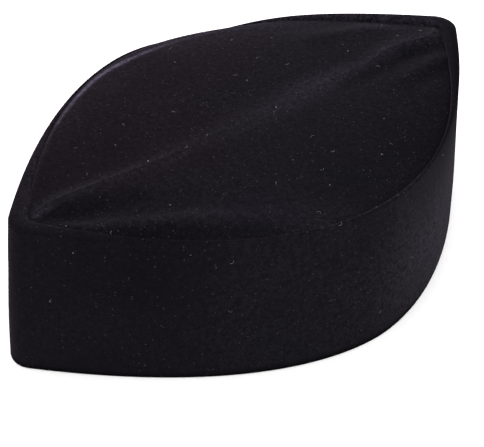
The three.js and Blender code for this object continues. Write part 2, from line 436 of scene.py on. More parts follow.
def make_velvet(name, dust, contrast, highlight_grain):
    """Black velvet with a share of dusty cells, a contrast in its grain and one in its painted highlight.
    """
    material, tree, shader = new_material(name)
    place = add(tree, "ShaderNodeTexCoord").outputs["Object"]
    grain = placed(tree, pile_grain, place)
    patches = placed(tree, leaning_pile, place)
    specks = placed(tree, fine_dust, place)
    specks.inputs["Share"].default_value = dust
    # the painted light and shade that each piece stores on its points
    brushed = add(tree, "ShaderNodeAttribute", attribute_name="brushed").outputs["Fac"]
    black = mix(tree, "RGBA", patches.outputs["Hue"], COOL_BLACK, WARM_BLACK)
    strength = mix(tree, "FLOAT", patches.outputs["Lean"], *TIPS_SHOWN)
    shade = mix(tree, "FLOAT", contrast, 0.5, grain.outputs["Shade"])
    lit = calc(tree, "MULTIPLY", shade, strength)
    pile = mix(tree, "RGBA", lit, black, PILE_TIPS)
    # a painted highlight above 0, broken up by the grain, and painted shade below 0
    highlight_grain_factor = mix(tree, "FLOAT", grain.outputs["Shade"], 1 - highlight_grain, 1 + HIGHLIGHT_GRAIN_PEAK * highlight_grain)
    raised = calc(tree, "MULTIPLY", brushed, highlight_grain_factor)
    raised = calc(tree, "MULTIPLY", raised, PAINTED_HIGHLIGHT_SHARE)
    pile = mix(tree, "RGBA", raised, pile, PAINTED_HIGHLIGHT)
    pile = mix(tree, "RGBA", calc(tree, "MULTIPLY", brushed, -1.0), pile, PAINTED_SHADE)
    pile = mix(tree, "RGBA", specks.outputs["Specks"], pile, DUST)
    plug(tree, shader.inputs["Base Color"], pile)
    plug(tree, shader.inputs["Roughness"], mix(tree, "FLOAT", grain.outputs["Shade"], *PILE_ROUGHNESS))
    upright = add(tree, "ShaderNodeNewGeometry").outputs["Normal"]
    # where shade is painted the normal leans towards the front right, which dims the sheen
    painted_shade_amount = calc(tree, "MULTIPLY", brushed, -1.0, clamp=True)
    leaning = vector(tree, "ADD", upright, vector(tree, "SCALE", SHADE_TILT, scale=painted_shade_amount))
    inputs = {"Height": grain.outputs["Height"], "Strength": PILE_BUMP, "Distance": PILE_HEIGHT}
    bump = add(tree, "ShaderNodeBump", inputs)
    plug(tree, bump.inputs["Normal"], vector(tree, "NORMALIZE", leaning))
    plug(tree, shader.inputs["Normal"], bump.outputs[0])
    shader.inputs["Specular IOR Level"].default_value = 0.0
    shader.inputs["Sheen Weight"].default_value = SHEEN
    shader.inputs["Sheen Roughness"].default_value = SHEEN_ROUGHNESS
    shader.inputs["Sheen Tint"].default_value = SHEEN_TINT
    return material


band_velvet = make_velvet("band velvet", dust=0.35, contrast=0.6, highlight_grain=0.85)
crown_velvet = make_velvet("crown velvet", dust=0.55, contrast=1.0, highlight_grain=0.55)
print("velvets:", band_velvet.name, "and", crown_velvet.name)

# %% [markdown]
# The inside is the back of the same cloth: a plain black weave with no pile. Two rows of waves, one across
# the other, make the threads. They could be real geometry, but nobody sees them from nearer than a hand's
# width, so height in the shader is enough.

# %% The plain back of the cloth
THREADS = 900.0  # half waves to the metre
WORN_BACK = (0.03, 0.028, 0.034, 1)
BACK_TONES = (0.25, 0.6)
BACK_ROUGHNESS = (0.95, 0.8)
THREAD_SHADE = 0.15
THREAD_BUMP = 0.25
THREAD_HEIGHT = 0.0002
CLOTH_GLOSS = 0.2


def make_backing():
    material, tree, shader = new_material("plain backing")
    place = add(tree, "ShaderNodeTexCoord").outputs["Object"]
    split = add(tree, "ShaderNodeSeparateXYZ", {0: place}).outputs

    def waves(along):
        return calc(tree, "SINE", calc(tree, "MULTIPLY", along, THREADS * math.pi))

    sideways = waves(calc(tree, "ADD", split[0], split[1]))
    upwards = waves(calc(tree, "SUBTRACT", split[2], split[1]))
    weave = calc(tree, "MAXIMUM", sideways, upwards)
    patches = placed(tree, leaning_pile, place)
    tone = mix(tree, "FLOAT", patches.outputs["Lean"], *BACK_TONES)
    worn = calc(tree, "MULTIPLY_ADD", weave, THREAD_SHADE, tone, clamp=True)
    plug(tree, shader.inputs["Base Color"], mix(tree, "RGBA", worn, COOL_BLACK, WORN_BACK))
    plug(tree, shader.inputs["Roughness"], mix(tree, "FLOAT", worn, *BACK_ROUGHNESS))
    inputs = {"Height": weave, "Strength": THREAD_BUMP, "Distance": THREAD_HEIGHT}
    bump = add(tree, "ShaderNodeBump", inputs)
    plug(tree, shader.inputs["Normal"], bump.outputs[0])
    shader.inputs["Specular IOR Level"].default_value = CLOTH_GLOSS
    return material


plain_backing = make_backing()
print("backing:", plain_backing.name)

# %% [markdown]
# The band is one closed wall. Its section is the same everywhere: up the outside, over the rounded lip,
# down the inside and round the turned hem. That is a rule, so Geometry Nodes make it. The tree starts from
# the four outlines as plain rings of points. It lays a grid with one column for each station and one row
# for each step of the section, and looks up where each corner of the grid belongs between the four rings.
#
# Row numbers turn into places with two shares. "up_share" climbs to 1 along the outside, stays there over
# the lip and falls back along the inside. "across" is 1 outside, falls to 0 over the lip and comes back
# round the hem. Over the lip the section is lifted by a sine, raised to a power below 1 so that the lip is
# rather flat on top, as folded cloth is. A low bow and a little noise keep the wall from being as even as
# sheet metal, and both fade out at the rim and at the lip, where the crown is sewn in.
#
# The rings also carry painted light and shade along the lip and the rim. The tree spreads it over the
# wall, adds painted shadow along the foot and a painted pool of light on the right side, and stores the
# sum on the points. Last, it gives the lower inside its plain backing.

# %% The tree of the band
NEARLY_INSIDE = 0.2  # across is below this on the inside
MOST_CORNERS = 0.6  # a face is backed where this share of its corners is
NOISE_SPREAD = 4.0  # a noise keeps to about a quarter each side of its middle
FULL_BULGE = 4.0  # up_share * (1 - up_share) is a quarter half way up, where the bulge is full


def make_wall_tree():
    tree, given, out = new_tree(
        "wall from four rings",
        "GeometryNodeTree",
        {
            "Rings": "Geometry",
            "Stations": 100,
            "Wall Steps": 40,
            "Lip Steps": 14,
            "Hem Steps": 8,
            "Lip Round": 0.002,
            "Hem Round": 0.001,
            "Bow": 0.0003,
            "Unevenness": 0.0002,
            "Waves": 30.0,
            "Turned In": 0.9,
            "Hem Reach": 0.03,
            "Lip Reach": 0.8,
            "Lip Edge": 0.6,
            "Patch": 0.4,
            "Patch Place": "Vector",
            "Patch Reach": 0.05,
            "Velvet": "Material",
            "Backing": "Material",
        },
        {"Band": "Geometry"},
    )
    stations, walls = given["Stations"], given["Wall Steps"]
    lips, hems = given["Lip Steps"], given["Hem Steps"]
    inside_top = calc(tree, "ADD", walls, lips)
    inside_foot = calc(tree, "ADD", inside_top, walls)
    rows = calc(tree, "ADD", inside_foot, hems)
    grid = add(
        tree,
        "GeometryNodeMeshGrid",
        {"Vertices X": calc(tree, "ADD", stations, 1), "Vertices Y": calc(tree, "ADD", rows, 1)},
    )
    index = add(tree, "GeometryNodeInputIndex").outputs[0]
    height = calc(tree, "ADD", rows, 1)
    column = calc(tree, "FLOOR", calc(tree, "DIVIDE", calc(tree, "ADD", index, 0.5), height))
    station = calc(tree, "FLOORED_MODULO", column, stations)
    row = calc(tree, "FLOORED_MODULO", calc(tree, "FLOORED_MODULO", index, height), rows)
    nearer = calc(tree, "MINIMUM", row, calc(tree, "SUBTRACT", inside_foot, row))
    up_share = calc(tree, "DIVIDE", nearer, walls, clamp=True)
    over_lip = calc(tree, "DIVIDE", calc(tree, "SUBTRACT", row, walls), lips, clamp=True)
    round_hem = calc(tree, "DIVIDE", calc(tree, "SUBTRACT", row, inside_foot), hems, clamp=True)
    lip_angle = calc(tree, "MULTIPLY", over_lip, math.pi)
    hem_angle = calc(tree, "MULTIPLY", round_hem, math.pi)
    leaving = calc(tree, "MULTIPLY_ADD", calc(tree, "COSINE", lip_angle), 0.5, 0.5)
    coming = calc(tree, "MULTIPLY_ADD", calc(tree, "COSINE", hem_angle), -0.5, 0.5)
    across = calc(tree, "ADD", leaving, coming)

    position = add(tree, "GeometryNodeInputPosition").outputs[0]
    edge_light = add(tree, "GeometryNodeInputNamedAttribute", {"Name": "edge_light"}, data_type="FLOAT").outputs[0]

    def ring(number, value=position, kind="FLOAT_VECTOR"):
        at = calc(tree, "MULTIPLY_ADD", stations, float(number), station)
        inputs = {"Geometry": given["Rings"], "Index": at}
        sample = add(tree, "GeometryNodeSampleIndex", inputs, data_type=kind)
        plug(tree, sample.inputs["Value"], value)
        return sample.outputs[0]

    outside = mix(tree, "VECTOR", up_share, ring(0), ring(1))
    inside = mix(tree, "VECTOR", up_share, ring(2), ring(3))
    wall = mix(tree, "VECTOR", across, inside, outside)
    outwards = vector(tree, "NORMALIZE", vector(tree, "SUBTRACT", outside, inside))
    bulge = calc(tree, "MULTIPLY", up_share, calc(tree, "SUBTRACT", 1.0, up_share))
    waviness = noise(tree, wall, given["Waves"], detail=1.0)
    wavy = calc(tree, "MULTIPLY", calc(tree, "SUBTRACT", waviness, 0.5), given["Unevenness"])
    push = calc(tree, "ADD", calc(tree, "MULTIPLY", wavy, NOISE_SPREAD), given["Bow"])
    push = calc(tree, "MULTIPLY", calc(tree, "MULTIPLY", bulge, FULL_BULGE), push)
    pushed = vector(tree, "SCALE", outwards, scale=push)
    over = calc(tree, "MAXIMUM", calc(tree, "SINE", lip_angle), 0.0)
    lift = calc(tree, "MULTIPLY", calc(tree, "POWER", over, given["Lip Edge"]), given["Lip Round"])
    drop = calc(tree, "MULTIPLY", calc(tree, "SQRT", calc(tree, "SINE", hem_angle)), given["Hem Round"])
    raised = add(tree, "ShaderNodeCombineXYZ", {2: calc(tree, "SUBTRACT", lift, drop)}).outputs[0]
    place = vector(tree, "ADD", vector(tree, "ADD", wall, pushed), raised)
    inputs = {"Geometry": grid.outputs[0], "Position": place}
    shaped = add(tree, "GeometryNodeSetPosition", inputs).outputs[0]
    # painted shadow along the foot of the wall and round the hem
    foot_shadow = calc(tree, "SUBTRACT", between(tree, up_share, 0.0, given["Hem Reach"]), 1.0)
    # painted light and shade of the lip and the rim, spread from the rings
    inwards = calc(tree, "POWER", calc(tree, "SUBTRACT", 1.0, across), 2.0)
    at_lip = mix(tree, "FLOAT", inwards, ring(1, edge_light, "FLOAT"), ring(3, edge_light, "FLOAT"))
    at_rim = mix(tree, "FLOAT", inwards, ring(0, edge_light, "FLOAT"), ring(2, edge_light, "FLOAT"))
    lip = mix(tree, "FLOAT", between(tree, up_share, given["Lip Reach"], 1.0), at_rim, at_lip)
    # a painted pool of light on the right side, where the side lamp falls
    apart = add(tree, "ShaderNodeVectorMath", {0: place, 1: given["Patch Place"]}, operation="DISTANCE")
    inputs = {"Value": apart.outputs["Value"], "From Min": given["Patch Reach"], "From Max": 0.0}
    light_pool = add(tree, "ShaderNodeMapRange", inputs, interpolation_type="SMOOTHSTEP").outputs[0]
    painted_pool = calc(tree, "MULTIPLY", light_pool, given["Patch"])
    brushed = calc(tree, "ADD", calc(tree, "ADD", foot_shadow, lip), painted_pool)
    shaped = add(
        tree,
        "GeometryNodeStoreNamedAttribute",
        {"Geometry": shaped, "Name": "brushed", "Value": brushed},
        data_type="FLOAT",
        domain="POINT",
    ).outputs[0]
    behind = calc(tree, "LESS_THAN", across, NEARLY_INSIDE)
    low = calc(tree, "LESS_THAN", up_share, given["Turned In"])
    backing = calc(tree, "MULTIPLY", behind, low)
    corners = add(tree, "GeometryNodeFieldOnDomain", {0: backing}, data_type="FLOAT", domain="POINT")
    hidden = calc(tree, "GREATER_THAN", corners.outputs[0], MOST_CORNERS)
    inputs = {"Geometry": shaped, "Material": given["Velvet"]}
    velvet = add(tree, "GeometryNodeSetMaterial", inputs).outputs[0]
    inputs = {"Geometry": velvet, "Selection": hidden, "Material": given["Backing"]}
    backed = add(tree, "GeometryNodeSetMaterial", inputs).outputs[0]
    realized = add(tree, "GeometryNodeRealizeInstances", {0: backed}).outputs[0]
    plug(tree, out["Band"], realized)
    return tree


# %% The band
LIP_ROUND = 0.002
HEM_ROUND = 0.0011
BAND_BOW = 0.0003
UNEVENNESS = 0.00022
TURNED_IN = 0.9  # the velvet comes down this share of the inside, under the edge of the crown
LIP_REACH = 0.5  # the painted light and shade of the lip fade out this far up the wall
LIP_EDGE = 0.6  # below 1 the lip is flatter on top and turns down more sharply
PAINTED_LIGHT_POOL = 0.5  # the strength of a painted pool of light on the right side, where the side lamp falls
PATCH_PLACE = (0.066, 0.044, 0.027)
PATCH_REACH = 0.07
MERGE = 0.000001

# Painted light along the lip and the rim of both sides, and painted shade where below 0
BAND_EDGE_LIGHT = {
    "along": (-1.0, -0.75, -0.5, -0.2, 0.1, 0.4, 0.7, 1.0),
    "right_inside": (0.0, -0.8, -0.3, 0.4, 0.4, 0.0, 0.0, 0.1),
    "right_lip": (0.0, -0.2, 0.04, 0.08, 0.0, -0.55, -0.5, -0.3),
    "right_rim": (0.0, -0.03, 0.08, 0.08, 0.03, 0.0, 0.0, 0.0),
    "left_inside": (0.2, 0.45, 0.6, 0.6, 0.6, 0.75, 0.7, 0.5),
    "left_lip": (0.0, 0.1, 0.1, 0.1, 0.1, 0.0, 0.0, 0.0),
}


def ring_of(outline, height):
    flat = outline_points(outline)
    return np.column_stack([flat, np.broadcast_to(height, len(flat))])


def band_edge_light(right_column, left_column=None):
    """The band's painted light and shade at every station. Round the tips it passes from one side's column
    to the other's.
    """
    leftness = np.where(TURN > 0, np.where(V > 0, TURN, 1 - TURN), SIDE < 0)
    right_side = np.interp(V, BAND_EDGE_LIGHT["along"], BAND_EDGE_LIGHT[right_column])
    left_side = np.interp(V, BAND_EDGE_LIGHT["along"], BAND_EDGE_LIGHT[left_column]) if left_column else 0
    return right_side + (left_side - right_side) * leftness


def make_band():
    under_lip = lip_height(SIDE, V) - LIP_ROUND
    rings = [ring_of(rim_outside, HEM_ROUND), ring_of(lip_outside, under_lip)]
    rings += [ring_of(rim_inside, HEM_ROUND), ring_of(lip_inside, under_lip)]
    start = bpy.data.meshes.new("rings")
    start.from_pydata(np.concatenate(rings).tolist(), [], [])
    edge_lights = [band_edge_light("right_rim"), band_edge_light("right_lip", "left_lip")]
    edge_lights += [np.zeros(len(V)), band_edge_light("right_inside", "left_inside")]
    edge_light = start.attributes.new("edge_light", "FLOAT", "POINT")
    edge_light.data.foreach_set("value", np.concatenate(edge_lights).astype(np.float32))
    made = grow(
        "band_velvet",
        start,
        make_wall_tree(),
        {
            "Stations": len(V),
            "Wall Steps": 44,
            "Lip Steps": 16,
            "Hem Steps": 8,
            "Lip Round": LIP_ROUND,
            "Hem Round": HEM_ROUND,
            "Bow": BAND_BOW,
            "Unevenness": UNEVENNESS,
            "Turned In": TURNED_IN,
            "Lip Reach": LIP_REACH,
            "Lip Edge": LIP_EDGE,
            "Patch": PAINTED_LIGHT_POOL,
            "Patch Place": PATCH_PLACE,
            "Patch Reach": PATCH_REACH,
            "Velvet": band_velvet,
            "Backing": plain_backing,
        },
    )
    tidy(made.data, MERGE)
    return made


band = make_band()

# %% [markdown]
# The crown is one panel, folded along the middle and pressed, so that a crease runs from tip to tip. Its
# shape follows the cloth, and not a rule: it was read off the photograph as heights above the seam. CREASE
# gives the crease from front to back, with a painted highlight along it, and LEVELS the height on the
# crease, half way out and at the edge of each side. Between the columns and rows a smooth curve fills in.
# A third table paints light and shade near both edges, and FOLDS lists the small folds and hollows that
# spread from the tips, each along a short curved line, with a painted highlight on a fold and painted
# shade in a hollow.
#
# Draping a cloth over a block would give folds too, but not the ones that were pressed into this cap, so
# they are listed. Plain Python is the best tool for a shape read from tables. The points run from the
# crease out to the seam at every station, so a ridge stays sharp on the crease. The edge follows the lip,
# also where the lip is squeezed down, and goes a little way into the band, where the seam holds it.

# %% The crown's tables
SEAM_DEPTH = 0.0049  # from the lip down to the level that the heights are counted from
SEAM_TUCK = 0.0016  # the seam lies at least this far under the lip
EDGE_STEP = 0.0002  # and this far under the crown's own edge
SEAM_OVERLAP = 0.00012  # the crown's edge goes this far into the band, so that no light comes through
CROWN_WALL = 0.002
LEFT_ROLL = 0.005  # the crown rolls down into its seam over this width
RIGHT_ROLL = 0.0024
LINE_WIDTH = 0.0009  # the widths of the painted highlight line, the painted shade at the edge and the painted glow
EDGE_WIDTH = 0.002
GLOW_WIDTH = 0.008
TIP_BLEND = 0.01  # the left side turns into the right one over this width at each tip
RIDGE_HEIGHT = 0.0015
RIDGE_FAR_WIDTH = 0.0032
RIDGE_NEAR_WIDTH = 0.0022
# the painted highlight along the crease is about this wide
CREASE_HIGHLIGHT_WIDTH = 0.0035
FOLD_HEIGHT = 0.002
FOLD_WIDTH = 0.005
MILLIMETRE = 0.001

# The crease's place is a share of the half width there, its rise and width are shares of RIDGE_HEIGHT and
# of the ridge's widths, its last column is the strength of the painted highlight along it, and "along" runs
# from the front tip to the back. Levels are shares of SEAM_DEPTH.
CREASE = {
    "along": (-1.0, -0.85, -0.6, -0.3, 0.0, 0.3, 0.6, 0.85, 1.0),
    "across": (-0.36, -0.155, -0.035, 0.0, 0.008, 0.002, 0.0, -0.02, 0.35),
    "rise": (0.6, 0.9, 0.75, 0.3, 0.12, 0.18, 0.45, 0.8, 0.9),
    "width": (0.8, 0.9, 1.0, 1.5, 2.2, 2.0, 1.5, 1.5, 1.2),
    "brushed": (0.35, 0.3, 0.2, 0.15, 0.2, 0.4, 0.3, 0.3, 0.35),
}
LEVELS = {
    "along": (-1.0, -0.85, -0.6, -0.3, 0.0, 0.3, 0.6, 0.85, 1.0),
    "crease": (0.8, 0.7, 0.8, 1.1, 1.2, 1.1, 0.8, 0.6, 0.5),
    "left": (0.9, 1.0, 1.2, 1.35, 1.3, 1.1, 0.9, 0.7, 0.55),
    "left_edge": (0.85, 1.35, 1.45, 1.4, 1.2, 0.8, 0.55, 0.45, 0.5),
    "right": (0.6, 0.6, 0.9, 1.1, 1.2, 1.1, 0.9, 0.5, 0.4),
    "right_edge": (0.65, 0.5, 0.5, 0.6, 0.7, 0.7, 0.6, 0.5, 0.5),
}

# Painted light and shade towards the edges: a painted highlight line along the left seam, at a place in
# millimetres from it, painted shade on the strip between the two, a painted glow that fades inwards, and
# painted light and shade on the way to the right seam
CROWN_EDGE_LIGHT = {
    "along": (-1.0, -0.85, -0.7, -0.5, -0.3, -0.1, 0.1, 0.4, 1.0),
    "line_place": (1.4, 1.4, 1.8, 3.4, 4.2, 6.3, 6.6, 6.0, 4.0),
    "line": (0.0, 0.0, 0.3, 2.5, 3.3, 2.4, 0.6, 0.1, 0.0),
    "edge": (0.0, 0.0, -0.2, -0.8, -0.6, -0.4, 0.0, 0.0, 0.0),
    "glow": (0.0, 0.0, 0.1, 0.25, 0.4, 0.3, 0.8, 0.7, 0.2),
    "right": (-0.1, -0.1, -0.05, 0.12, 0.18, 0.05, -0.1, -0.3, -0.1),
}

# A fold's line gives its places as shares of the lip's half length and half width, its rises as shares of
# FOLD_HEIGHT, its width as a share of FOLD_WIDTH, and its painted highlight, or painted shade below 0.
Fold = namedtuple("Fold", "along across rise width brushed")
FOLDS = {
    "ridge at the front tip": Fold(
        (-0.97, -0.92, -0.86, -0.8), (0.01, 0.008, -0.01, -0.03), (0, 0.5, 0.4, 0), 0.3, 0.6
    ),
    "front fold": Fold(
        (-0.94, -0.84, -0.68, -0.48, -0.2), (0.07, 0.175, 0.32, 0.5, 0.8), (0, 0.55, 0.5, 0.4, 0), 0.75, 0.4
    ),
    "back fold": Fold(
        (0.45, 0.6, 0.76, 0.84, 0.93), (0.265, 0.252, 0.232, 0.26, 0.275), (0, 0.3, 0.5, 0.5, 0), 0.8, 0.15
    ),
    "left fold": Fold(
        (0.4, 0.53, 0.64, 0.72, 0.84), (-0.455, -0.395, -0.315, -0.265, -0.15),
        (0, 0.3, 0.45, 0.5, 0), 0.9, 0.15,
    ),
    "front hollow": Fold(
        (-0.94, -0.82, -0.64, -0.4), (0.01, 0.05, 0.15, 0.32), (0, -0.55, -0.45, 0), 1.1, -0.6
    ),
    "hollow by the near seam": Fold(
        (-0.94, -0.82, -0.62, -0.4, -0.15), (0.13, 0.28, 0.5, 0.75, 0.95),
        (0, -0.5, -0.5, -0.4, 0), 1.1, -0.45,
    ),
    "back hollow": Fold(
        (0.2, 0.45, 0.63, 0.76, 0.9), (0.1, 0.095, 0.09, 0.085, 0.13), (0, -0.4, -0.5, -0.7, 0), 0.9, -0.5
    ),
    "side hollow": Fold(
        (0.45, 0.62, 0.74, 0.86), (0.36, 0.33, 0.31, 0.3), (0, -0.4, -0.5, 0), 0.9, -0.3
    ),
}
print(len(FOLDS), "folds and hollows:", ", ".join(FOLDS))

# %% [markdown]
# A short table needs a smooth curve through its rows, or each row would show as a bend in the cloth. A
# cubic through each pair of rows, with slopes taken from their neighbours, passes through every row and
# hardly swings past it. Across a fold the height falls off as a bell, measured square to the fold's own
# line.

# %% Reading the tables
NUDGE = 0.01  # how far ahead a fold's line is read to find its direction


def cubic(start, end, first, last, t):
    """A curve from start to end that sets off with one slope and arrives with the other."""
    t = np.clip(t, 0, 1)
    rise = end - start
    return start + t * (first + t * (3 * rise - 2 * first - last + t * (first + last - 2 * rise)))


def read_smoothly(along, values, at, flat_ends=False):
    """A table's values between its places, as a smooth curve with slopes taken from the neighbours."""
    along, values = np.array(along), np.array(values, float)
    before = np.maximum(np.arange(len(along)) - 1, 0)
    after = np.minimum(np.arange(len(along)) + 1, len(along) - 1)
    slopes = (values[after] - values[before]) / (along[after] - along[before])
    if flat_ends:
        slopes[[0, -1]] = 0
    i = np.clip(np.searchsorted(along, at, side="left") - 1, 0, len(along) - 2)
    step = along[i + 1] - along[i]
    return cubic(values[i], values[i + 1], slopes[i] * step, slopes[i + 1] * step, (at - along[i]) / step)


def read_table(table):
    """Every column of a table at every station, but for its places."""
    columns = [name for name in table if name != "along"]
    return {name: read_smoothly(table["along"], table[name], V)[:, None] for name in columns}


def three_point_curve(first, middle, last, t):
    """A smooth curve through three heights, at 0, half way and 1."""
    slope = (last - first) / 2
    lower = cubic(first, middle, middle - first, slope, 2 * t)
    upper = cubic(middle, last, slope, last - middle, 2 * t - 1)
    return np.where(t < 0.5, lower, upper)


def eased_step(t):
    """Nought to one with a flat start and a flat end."""
    t = np.clip(t, 0, 1)
    return t * t * (3 - 2 * t)


def fold_shape(fold, x, y):
    """One fold's rise at every place, as a share of FOLD_HEIGHT."""
    v, u = y / (lip_length / 2), x / (lip_width / 2)
    centre = read_smoothly(fold.along, fold.across, v)
    lean = (read_smoothly(fold.along, fold.across, v + NUDGE) - centre) / NUDGE * lip_width / lip_length
    away = (u - centre) * (lip_width / 2) / np.sqrt(1 + lean**2) / (FOLD_WIDTH * fold.width)
    return read_smoothly(fold.along, fold.rise, v, flat_ends=True) * np.exp(-(away**2))


# %% [markdown]
# One function works out the crown's upper face. At each station it starts on the crease, goes straight out
# to the seam, and adds up the heights: the level from the tables, the sharp ridge, which falls off evenly
# to both sides, and the folds. Near the seam the sum is bent down in a quarter circle, as cloth does that
# is turned under. The same distances then say where light and shade are painted.

# %% The crown's upper face
def seam_points(height):
    """The crown's edge seen from above: on the band's leaning inner face, at each station's height."""
    radius = INNER_TIP_RADIUS + SEAM_OVERLAP
    lip, rim = (outline_points(inside._replace(tip_radius=radius)) for inside in (lip_inside, rim_inside))
    under_lip = lip_height(SIDE, V) - LIP_ROUND
    down = (under_lip - height) / (under_lip - HEM_ROUND)
    return lip + (rim - lip) * down[:, None]


def crown_surface(shares):
    """The upper face's points and their painted light, at every station and share of the way to the seam.
    """
    reach, spread, tip_radius, fullness = lip_inside
    half_width = spread * (1 - np.abs(V) ** fullness) + tip_radius
    crease_x = read_smoothly(CREASE["along"], CREASE["across"], V) * half_width
    crease = np.stack([crease_x, reach * V], axis=1)[:, None, :]
    level, ridge, edge_light = (read_table(table) for table in (LEVELS, CREASE, CROWN_EDGE_LIGHT))
    leftness = eased_step(0.5 + (crease_x - outline_points(lip_inside)[:, 0]) / TIP_BLEND)[:, None]

    def on_side(left, right):
        return right + (left - right) * leftness

    middle = on_side(level["left"], level["right"])
    edge = on_side(level["left_edge"], level["right_edge"])
    dip = (fair_lip_height(V) - lip_height(SIDE, V))[:, None]
    at_seam = np.minimum(SEAM_DEPTH * edge - EDGE_STEP, SEAM_DEPTH - SEAM_TUCK - dip)
    base = fair_lip_height(V)[:, None] - SEAM_DEPTH
    seam = seam_points((base + at_seam)[:, 0])[:, None, :]
    share = np.asarray(shares)[None, :, None]
    flat = crease + (seam - crease) * share
    x, y = flat[..., 0], flat[..., 1]
    t = np.broadcast_to(share[..., 0], x.shape)
    spread_level = three_point_curve(level["crease"], middle, edge, t)
    to_seam = np.hypot(*np.moveaxis(flat - seam, -1, 0))
    from_crease = np.hypot(*np.moveaxis(flat - crease, -1, 0))
    spoke = np.hypot(*np.moveaxis(seam - crease, -1, 0))
    into_roll = np.clip(1 - to_seam / np.minimum(on_side(LEFT_ROLL, RIGHT_ROLL), spoke), 0, 1)
    roll = 1 - np.sqrt(1 - into_roll**2)
    width = on_side(RIDGE_FAR_WIDTH, RIDGE_NEAR_WIDTH) * ridge["width"]
    shapes = [fold_shape(fold, x, y) for fold in FOLDS.values()]
    lift = RIDGE_HEIGHT * ridge["rise"] * np.exp(-from_crease / width) + FOLD_HEIGHT * sum(shapes)
    z = base + (SEAM_DEPTH * spread_level + lift) * (1 - roll) + at_seam * roll
    # painted highlight on the crease and the folds, painted shade in the hollows, and painted light and
    # shade near the seams
    brushed = ridge["brushed"] * np.exp(-((from_crease / CREASE_HIGHLIGHT_WIDTH / ridge["width"]) ** 2))
    brushed = brushed + sum(abs(shape) * fold.brushed for shape, fold in zip(shapes, FOLDS.values()))
    line = edge_light["line"] * np.exp(-(((to_seam - edge_light["line_place"] * MILLIMETRE) / LINE_WIDTH) ** 2))
    glow = edge_light["glow"] * np.exp(-to_seam / GLOW_WIDTH)
    at_edge = edge_light["edge"] * np.exp(-((to_seam / EDGE_WIDTH) ** 2))
    brushed = brushed + on_side(line + glow + at_edge, edge_light["right"] * t**2)
    return np.stack([x, y, z], axis=-1), brushed


# %% [markdown]
# The crown is a closed shell. The upper face is laid out finely from seam to seam, and a coarser copy of
# it, one cloth thickness lower, is the face that the wearer sees. The two are joined along the seam.

# %% The crown
UPPER_STEPS = 84
LOWER_STEPS = 26


def eased(steps):
    """Shares from 0 to 1 that bunch up towards both ends."""
    even = np.linspace(0, 1, steps + 1)
    return (even + (1 - np.cos(math.pi * even)) / 2) / 2


def make_crown():
    lower, lower_painted_light = crown_surface(eased(LOWER_STEPS))
    upper, upper_painted_light = crown_surface(eased(UPPER_STEPS))
    sheet = np.concatenate([lower - (0, 0, CROWN_WALL), upper[:, ::-1]], axis=1)
    brushed = np.concatenate([lower_painted_light, upper_painted_light[:, ::-1]], axis=1)
    stations, steps, _ = sheet.shape
    number = np.arange(stations * steps).reshape(stations, steps)
    following = np.roll(number, -1, axis=0)
    faces = np.stack([number[:, :-1], following[:, :-1], following[:, 1:], number[:, 1:]], axis=-1)
    mesh = bpy.data.meshes.new("crown_velvet")
    mesh.from_pydata(sheet.reshape(-1, 3).tolist(), [], faces.reshape(-1, 4).tolist())
    # the painted light and shade, for the velvet's colour
    pile = mesh.attributes.new("brushed", "FLOAT", "POINT")
    pile.data.foreach_set("value", brushed.reshape(-1).astype(np.float32))
    mesh.materials.append(crown_velvet)
    mesh.materials.append(plain_backing)
    under = np.broadcast_to(np.arange(steps - 1) < LOWER_STEPS, faces.shape[:2])
    mesh.polygons.foreach_set("material_index", under.reshape(-1).astype(np.int32))
    tidy(mesh, MERGE)
    return show("crown_velvet", mesh)


crown = make_crown()

# %% [markdown]
# Black velvet always carries some lint: pale specks and short bent fibres that lie on the pile. They are
# far too many to place by hand, so Geometry Nodes scatter them. The tree gets the velvet faces of both
# pieces, but for the hem that the cap stands on. It drops points on them, puts a short curve on some and a
# tiny ball on others, gives each a tone of its own, and turns the curves into thin threads. The seed is
# fixed, so that the lint is the same on every run.
#
# The few brightest specks of the photograph are found by looking through the camera at their pixels. They
# go in as loose points on the cap, which the tree finds by an attribute.

# %% The lint's place
BRIGHT_SPECKS = (  # pixels of the photograph, from its left and its top
    (232, 40), (175, 62), (348, 51), (148, 161), (170, 205), (207, 135), (276, 107),
    (66, 226), (73, 253), (293, 160), (443, 155), (330, 185),
)


def velvet_skin():
    """The velvet faces of both pieces as one mesh, with the bright specks' places as loose points."""
    work = bmesh.new()
    for piece in (band, crown):
        before = len(work.faces)
        work.from_mesh(piece.data)
        work.faces.ensure_lookup_table()
        backing = list(piece.data.materials).index(plain_backing)
        bare = [
            face
            for face in work.faces[before:]
            if face.material_index == backing or face.calc_center_median().z < HEM_ROUND
        ]
        bmesh.ops.delete(work, geom=bare, context="FACES")
    surface = BVHTree.FromBMesh(work)
    chosen = work.verts.layers.float.new("chosen")
    for x, y in BRIGHT_SPECKS:
        sideways = rolled_right * (x - PHOTO_WIDTH / 2) - rolled_up * (y - PHOTO_HEIGHT / 2)
        place, _, _, _ = surface.ray_cast(camera.location, sideways - back * FOCAL_PIXELS)
        if place:
            work.verts.new(place)[chosen] = 1
    skin = bpy.data.meshes.new("velvet skin")
    work.to_mesh(skin)
    work.free()
    return skin


# %% The tree of the lint
# Each range is a smallest and a largest value
FIBRE_SIZES = ((0.25, 0.1, 0.3), (1.0, 0.9, 1.0))
SPECK_SIZES = ((0.4, 0.4, 0.3), (1.4, 1.1, 0.6))
BRIGHT_SIZES = ((1.2, 1.2, 1.0), (2.2, 2.0, 1.4))
FIBRE_TONES = (0.03, 0.4)
SPECK_TONES = (0.02, 0.4)
BRIGHT_TONES = (0.35, 0.8)
FULL_TURN = 6.28
FIBRE_LIFT = 0.2  # a fibre's middle stands this share of its length off the pile


